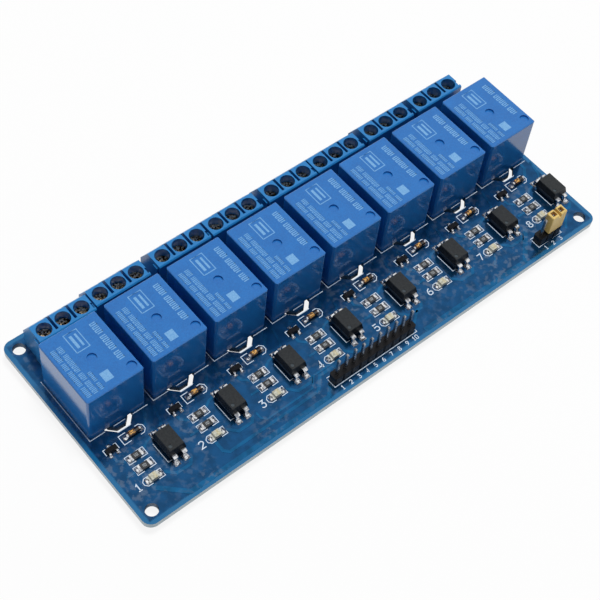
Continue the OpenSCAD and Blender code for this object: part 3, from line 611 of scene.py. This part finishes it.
# %% [markdown]
# ## Screen print of one channel
# The white print outlines each part so that it can be placed: brackets round the chips, a
# chamfered bracket at the diode's cathode, a round end at the light, the relay's footprint
# broken where the isolation slot crosses it. Eight channels carry the same print, so one is
# drawn from the first channel's parts and then copied. The only lettering is plain numbers.

# %% Channel print
INK = 0.18
INK_LOW, INK_HIGH = TOP, TOP + 0.075 * MM


def mm_box(box):
    """Sides of a box in mm: left, right, front, back."""
    low, high = box
    return low.x / MM, high.x / MM, low.y / MM, high.y / MM


def bracket(left, right, front, back, open_right=True, cut=0.0):
    """Three sides of a box with its mouth to one side, its far corners cut by cut."""
    outer, mouth = (left, right) if open_right else (right, left)
    inwards = cut if open_right else -cut
    far = [(outer + inwards, front), (outer, front + cut), (outer, back - cut), (outer + inwards, back)]
    if cut == 0:
        far = [(outer, front), (outer, back)]
    return [(mouth, front)] + far + [(mouth, back)]


relay_l, relay_r, relay_f, relay_b = mm_box((relay_low, relay_high))
slot_middle = (relay_l + relay_r) / 2
front_line, side_line = relay_f - 0.5, relay_l - 0.45
print_lines = [
    [(side_line, relay_b - 0.1), (side_line, front_line), (slot_middle - 3.9, front_line)],
    [(slot_middle - 1.6, front_line), (slot_middle + 1.5, front_line)],
    [(slot_middle + 3.6, front_line), (relay_r + 0.15, front_line)],
]
d_left, d_right, d_front, d_back = mm_box(in_first_channel("diode_bodies"))
d_mid = (d_left + d_right) / 2 - 0.18
d_front, d_back = d_front - 0.62, d_back + 0.62
print_lines += [bracket(d_mid - 3.0, d_mid - 1.1, d_front, d_back),
                bracket(d_mid + 1.5, d_mid + 3.2, d_front, d_back, False, 0.75)]
LOWER_ROW, UPPER_ROW = (-17.5 * MM, -14.6 * MM), (-14.4 * MM, -11.5 * MM)  # chip resistors, in y
for low_y, high_y in (LOWER_ROW, UPPER_ROW):
    r_left, r_right, r_front, r_back = mm_box(in_first_channel("resistor_caps", low_y, high_y))
    reach = ((r_left + r_right) / 2 - 2.45, (r_left + r_right) / 2 + 2.45, r_front - 0.25, r_back + 0.25)
    print_lines += [bracket(reach[0], reach[0] + 1.75, *reach[2:]),
                    bracket(reach[1] - 1.75, reach[1], *reach[2:], False)]
l_left, l_right, l_front, l_back = mm_box(in_first_channel("led_bases"))
l_mid = (l_left + l_right) / 2
print_lines += [bracket(l_mid - 2.75, l_mid - 0.9, l_front - 0.25, l_back + 0.25, True, 0.65),
                bracket(l_mid + 0.75, l_mid + 2.4, l_front - 0.25, l_back + 0.25, False)]
o_left, _, o_front, o_back = mm_box(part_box("optocoupler_1"))
print_lines += [[(o_left - 0.35, o_back - 0.75), (o_left - 0.35, o_front + 0.1),
                 (o_left + 0.75, o_front + 0.1)]]
t_left, t_right, t_front, t_back = mm_box(in_first_channel("transistor_bodies"))
print_lines += [[(t_left + 0.5, t_back + 0.35), (t_left - 0.25, t_back + 0.35),
                 (t_left - 0.25, t_front + 0.1)],
                [(t_right - 0.4, t_back + 0.35), (t_right + 0.25, t_back + 0.35),
                 (t_right + 0.25, t_front + 0.1)]]
# A white ink line along the front of the slot's own outline is a painted highlight on its edge
RIM = 0.16
slot_spots = [v.co.xy / MM for v in nodes["circuit_board"].data.vertices
              if abs(v.co.x - channel_x[1]) < 5 * MM and relay_f - 3.4 < v.co.y / MM < relay_f - 0.2
              and v.co.z > TOP - 0.01 * MM]
around = [slot_spots[k] for k in geometry.convex_hull_2d(slot_spots)]
slot_heart = Vector((slot_middle, max(p.y for p in around)))
rim = sorted((p + (p - slot_heart).normalized() * RIM / 2 for p in around if p.y < slot_heart.y - 0.3),
             key=lambda p: p.x)
print_lines.append([tuple(p) for p in rim])
channel_print = join([lay_line(points, INK) for points in print_lines], "channel_print")
print(len(print_lines), "lines in one channel,", len(rim), "points along the slot")

# %% Plain numbers
STROKES = {
    "0": [[(0, 0.2), (0, 1.4), (0.2, 1.6), (0.8, 1.6), (1, 1.4), (1, 0.2), (0.8, 0), (0.2, 0), (0, 0.2)]],
    "1": [[(0.15, 1.25), (0.5, 1.6), (0.5, 0)], [(0.1, 0), (0.9, 0)]],
    "2": [[(0, 1.3), (0.3, 1.6), (0.75, 1.6), (1, 1.35), (1, 1.0), (0, 0), (1, 0)]],
    "3": [[(0, 1.6), (0.95, 1.6), (0.45, 0.95), (0.8, 0.95), (1, 0.7), (1, 0.25), (0.75, 0),
           (0.25, 0), (0, 0.25)]],
    "4": [[(0.75, 0), (0.75, 1.6), (0, 0.5), (1, 0.5)]],
    "5": [[(0.95, 1.6), (0.1, 1.6), (0.05, 0.9), (0.7, 1.0), (1, 0.7), (1, 0.25), (0.75, 0),
           (0.25, 0), (0, 0.2)]],
    "6": [[(0.85, 1.6), (0.3, 1.3), (0, 0.7), (0, 0.25), (0.25, 0), (0.75, 0), (1, 0.25), (1, 0.6),
           (0.75, 0.85), (0.1, 0.8)]],
    "7": [[(0, 1.6), (1, 1.6), (0.35, 0)]],
    "8": [[(0.5, 0.85), (0.1, 1.1), (0.1, 1.4), (0.3, 1.6), (0.7, 1.6), (0.9, 1.4), (0.9, 1.1),
           (0.5, 0.85), (0, 0.55), (0, 0.25), (0.25, 0), (0.75, 0), (1, 0.25), (1, 0.55), (0.5, 0.85)]],
    "9": [[(0.15, 0), (0.7, 0.3), (1, 0.9), (1, 1.35), (0.75, 1.6), (0.25, 1.6), (0, 1.35),
           (0, 1.0), (0.25, 0.75), (0.9, 0.8)]],
}


def number(text, left, front, width, height, ink=INK):
    """Strips that draw a plain number with its lower left corner at left, front, in mm."""
    strips = []
    for k, digit in enumerate(text):
        for stroke in STROKES[digit]:
            strips.append(lay_line([(left + (k * 1.5 + x) * width, front + y / 1.6 * height)
                                    for x, y in stroke], ink))
    return strips


for n, twin in zip(CHANNELS, copies_along(channel_print, "channel_print", by_channel)):
    label = number(str(n), l_mid - 4.75 + (n - 1) * PITCH / MM, l_front - 0.1, 1.15, 1.8, 0.26)
    made = join([twin] + label, f"channel_print_{n}")
    dress(thicken(made, INK_LOW, INK_HIGH), "board_ink")
print("numbers 1 to 8 by the lights")

# %% Numbers on the chip resistors
digits = []
for low_y, high_y in (LOWER_ROW, UPPER_ROW):
    c_left, c_right, c_front, c_back = mm_box(in_first_channel("resistor_bodies", low_y, high_y))
    digits += number("102", (c_left + c_right) / 2 - 0.46, (c_front + c_back) / 2 - 0.32, 0.23, 0.64, 0.1)
chip_top = in_first_channel("resistor_bodies")[1].z
chip_print = thicken(join(digits, "chip_print"), chip_top - 0.01 * MM, chip_top + 0.01 * MM)
for piece in copies_along(chip_print, "chip_print", by_channel):
    dress(piece, "chip_ink")
print("two resistors a channel numbered")

# %% Header print
def header_frame(node_name, pins):
    """Box round a pin header, open in places, and a small number in front of each pin."""
    left, right, front, back = mm_box(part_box(node_name))
    lines = [[(left - 0.25, back - 0.2), (left - 0.25, front - 0.3), (right + 0.25, front - 0.3),
              (right + 0.25, back + 0.25), (left - 0.25, back + 0.25)]]
    strips = [lay_line(points, INK) for points in lines]
    for k in range(pins):
        text = str(k + 1)
        x = left + (right - left) * (k + 0.5) / pins - (0.3 if len(text) == 1 else 0.75)
        strips += number(text, x, front - 1.95, 0.6, 1.05, 0.17)
    return strips


header_print = join(header_frame("input_header_base", 10) + header_frame("power_header_base", 3),
                    "header_print")
dress(thicken(header_print, INK_LOW, INK_HIGH), "board_ink")
print("header frames")

# %% [markdown]
# ## Copper tracks under the mask
# A track is copper foil a few hundredths of a millimetre thick. The mask runs over it and
# looks lighter there. Tracks turn in 45 degree steps, because acid etches square corners
# unevenly. The channels share one pattern, and wide runs along the front edge feed them.

# %% Tracks on top
front, first = board_low.y / MM, channel_x[1] / MM
FILM_LOW, FILM_HIGH = TOP - 0.02 * MM, TOP + 0.05 * MM


def on_board(x, y):
    """Frame place in mm of a spot measured from the board's front left corner."""
    return board_low.x / MM + x, front + y


def from_channel(x, y):
    """Frame place in mm of a spot measured from the first relay's middle and the front edge."""
    return first + x, front + y


channel_runs = [
    (0.8, (0.6, 9.1), (2.6, 7.0), (6.4, 7.0), (7.6, 8.4)),
    (0.7, (-6.2, 18.8), (-6.2, 17.4), (-4.7, 15.9)),
    (0.6, (-6.9, 12.7), (-4.4, 12.7)),
    (0.6, (-0.4, 15.9), (2.0, 17.4), (4.6, 17.9)),
    (0.6, (-5.6, 21.9), (-4.2, 23.1), (-2.4, 21.2)),
    (0.8, (3.6, 20.9), (5.9, 23.2), (5.9, 27.5)),
    (0.6, (6.6, 18.4), (7.6, 19.8), (8.6, 24.0)),
]
channel_tracks = join([lay_line([from_channel(*p) for p in points], width)
                       for width, *points in channel_runs], "channel_tracks")
thicken(channel_tracks, FILM_LOW, FILM_HIGH)
for piece in copies_along(channel_tracks, "channel_tracks", by_channel):
    dress(piece, "mask_over_copper")

head_x = mm_box(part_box("input_header_base"))[0] - board_low.x / MM
edge_runs = [
    (1.2, (7.0, 8.6), (7.0, 7.0), (12.6, 1.5), (head_x - 2.8, 1.5), (head_x + 1.2, 5.4)),
    (0.8, (24.4, 8.6), (24.4, 5.2), (25.5, 4.1), (head_x - 4.0, 4.1), (head_x - 1.0, 7.1),
     (head_x + 3.6, 7.1)),
    (0.5, (36.4, 8.4), (36.4, 6.6), (37.4, 5.5), (head_x - 4.6, 5.5), (head_x - 2.2, 8.0),
     (head_x + 6.0, 8.0)),
    (1.3, (83.0, 1.6), (117.3, 1.6), (124.6, 8.9)),
    (0.6, (82.2, 4.6), (85.4, 7.0)),
    (0.5, (110.2, 5.3), (112.4, 7.5), (112.4, 8.6)),
    (0.7, (133.2, 2.6), (136.6, 6.2), (136.6, 9.0)),
]
edge_tracks = join([lay_line([on_board(*p) for p in points], width) for width, *points in edge_runs],
                   "edge_tracks")
dress(thicken(edge_tracks, FILM_LOW, FILM_HIGH), "mask_over_copper")
print(len(channel_runs), "tracks in each channel,", len(edge_runs), "along the front edge")

# %% [markdown]
# ## Underside
# The relays' contacts switch mains loads, so their copper is wide. It runs on the
# underside, from each relay's contact pins to the terminals, between tinned rings at the
# joints. This side is seldom seen, but the board is often mounted on edge.

# %% Rings and wide tracks below
def loose_boxes(node_name):
    """Box of each separate solid of a node in the first channel, from front to back."""
    mesh, owner = nodes[node_name].data, {}
    keys = [tuple(round(c / (0.001 * MM)) for c in v.co) for v in mesh.vertices]

    def root(k):
        while owner[k] != k:
            k = owner[k]
        return k

    for face in mesh.polygons:
        corners = [keys[v] for v in face.vertices]
        for k in corners:
            owner.setdefault(k, k)
        for k in corners[1:]:
            owner[root(k)] = root(corners[0])
    solids = {}
    for k in owner:
        solids.setdefault(root(k), []).append(Vector(k) * 0.001 * MM)
    boxes = [[Vector(pick(p[a] for p in points) for a in range(3)) for pick in (min, max)]
             for points in solids.values()]
    here = [b for b in boxes if abs((b[0].x + b[1].x) / 2 - channel_x[1]) < PITCH / 2]
    return sorted(here, key=lambda b: (round(b[0].y / MM), b[0].x))


joints = [((b[0] + b[1]) / 2, (b[1].x - b[0].x) / 2) for b in loose_boxes("solder_joints")]
deselect_all()
rings = []
for centre, reach in joints:
    bpy.ops.mesh.primitive_cylinder_add(vertices=32, radius=reach + 0.35 * MM, depth=0.05 * MM,
                                        location=(centre.x, centre.y, -0.015 * MM))
    bpy.ops.object.transform_apply()
    rings.append(bpy.context.object)
for piece in copies_along(join(rings, "joint_rings"), "joint_rings", by_channel):
    dress(piece, "solder")

pin = [(c.x / MM, c.y / MM) for c, reach in joints]
common, coil_left, coil_right, closed, opened, out_left, out_middle, out_right = pin
wide_runs = [
    (2.2, common, (common[0], common[1] + 4.5), (out_middle[0], out_middle[1] - 8), out_middle),
    (2.4, closed, (closed[0] + 0.2, closed[1] + 4), (out_left[0], out_left[1] - 3), out_left),
    (2.4, opened, (opened[0], opened[1] + 4), (out_right[0], out_right[1] - 3), out_right),
    (0.8, coil_left, (coil_left[0], coil_left[1] - 4), (coil_left[0] + 1.2, coil_left[1] - 6)),
    (0.8, coil_right, (coil_right[0], coil_right[1] - 8.4)),
]
wide_tracks = join([lay_line(points, width) for width, *points in wide_runs], "wide_tracks")
thicken(wide_tracks, -0.03 * MM, 0.02 * MM)
for piece in copies_along(wide_tracks, "wide_tracks", by_channel):
    dress(piece, "mask_over_copper")
print(len(joints), "rings and", len(wide_runs), "wide tracks in each channel")

# %% [markdown]
# ## Solder at the chips
# Reflowed solder wets the pad and the end of the chip, and sets as a smooth hollow or
# mound between them. Half of a squashed ball reads right at this size: a sphere is cut
# through its middle in edit mode, and sized to its pad.

# %% Mounds of solder
MOUND_REACH = 0.42  # half a mound's width, as a share of its pad's
WIDE_PAD = 1.35 * MM
WIDE_RISE, SMALL_RISE = 0.42, 0.34


def mound(pad, rise):
    """Half a ball of solder on a pad's box, that many mm high."""
    low, high = pad
    size = high - low
    deselect_all()
    bpy.ops.mesh.primitive_uv_sphere_add(segments=14, ring_count=8, radius=1)
    ball = bpy.context.object
    bpy.ops.object.mode_set(mode="EDIT")
    bpy.ops.mesh.select_all(action="SELECT")
    bpy.ops.mesh.bisect(plane_co=(0, 0, 0), plane_no=(0, 0, 1), clear_inner=True, use_fill=True)
    bpy.ops.mesh.select_all(action="SELECT")
    bpy.ops.mesh.normals_make_consistent(inside=False)
    bpy.ops.object.mode_set(mode="OBJECT")
    ball.scale = (size.x * MOUND_REACH, size.y * MOUND_REACH, rise * MM)
    ball.location = ((low.x + high.x) / 2, (low.y + high.y) / 2, high.z - 0.03 * MM)
    bpy.ops.object.transform_apply()
    bpy.ops.object.shade_smooth_by_angle(angle=math.radians(50))
    return ball


mounds = []
for pad in loose_boxes("solder_pads"):
    wide, centre = (pad[1] - pad[0]).x > WIDE_PAD, (pad[0] + pad[1]) / 2
    hidden = wide and centre.y > opto_high.y and centre.x > (opto_low.x + opto_high.x) / 2
    if not hidden:
        mounds.append(mound(pad, WIDE_RISE if wide else SMALL_RISE))
for piece in copies_along(join(mounds, "chip_solder"), "chip_solder", by_channel):
    dress(piece, "solder")
print(len(mounds), "mounds in each channel")

# %% [markdown]
# ## Print on the relay covers
# A sealed relay has its ratings printed on top in pale blue ink. Here the print is plain:
# a frame with two fields in it, a panel, and rows of a stepped line that stand where the
# lines of text would, with no words or marks. The rows keep clear of the two moulded
# dimples, and everything is drawn flat first and then given the ink's thickness.

# %% Relay print
relay_mid = (relay_low + relay_high) / 2


def on_cover(points):
    """Frame places in mm of spots measured from the middle of the first cover."""
    return [(relay_mid.x / MM + x, relay_mid.y / MM + y) for x, y in points]


def bar(x, y, width, length):
    """A flat bar up the cover from x, y."""
    return lay_line(on_cover([(x, y), (x, y + length)]), width)


def steps(x, start, height, pitch, words, ink):
    """A row of stepped lines up the cover, one for each word of so many steps."""
    lines, y = [], start
    for count in words:
        points = []
        for k in range(count):
            near, far = (x, x + height) if k % 2 == 0 else (x + height, x)
            points += [(near, y), (far, y)]
            y += pitch
        lines.append(lay_line(on_cover(points), ink))
        y += pitch * 0.9
    return lines


frame_line = on_cover([(-1.9, 2.4), (-1.9, 7.9), (1.5, 7.9), (1.5, 2.4), (-1.9, 2.4)])
bold = [lay_line(frame_line, 0.22), bar(-0.75, 3.3, 0.7, 3.7), bar(0.5, 3.3, 0.5, 3.7),
        bar(-0.1, -7.4, 2.2, 2.6)]
bold += steps(4.5, -4.4, 1.35, 0.52, (5, 9, 7), 0.25)
fine = steps(-6.6, -8.2, 1.1, 0.42, (7, 11, 5, 9), 0.2) + steps(-4.9, -8.2, 1.1, 0.42, (9, 5, 13, 5), 0.2)
fine += steps(-3.1, -8.2, 0.8, 0.42, (5, 7), 0.2)
for family, lines, ink in (("relay_print", bold, "relay_ink"), ("relay_fine_print", fine, "relay_ink_fine")):
    printed = thicken(join(lines, family), relay_high.z - 0.01 * MM, relay_high.z + 0.01 * MM)
    for piece in copies_along(printed, family, by_channel):
        dress(piece, ink)
print(len(bold), "bold and", len(fine), "fine shapes on each cover")
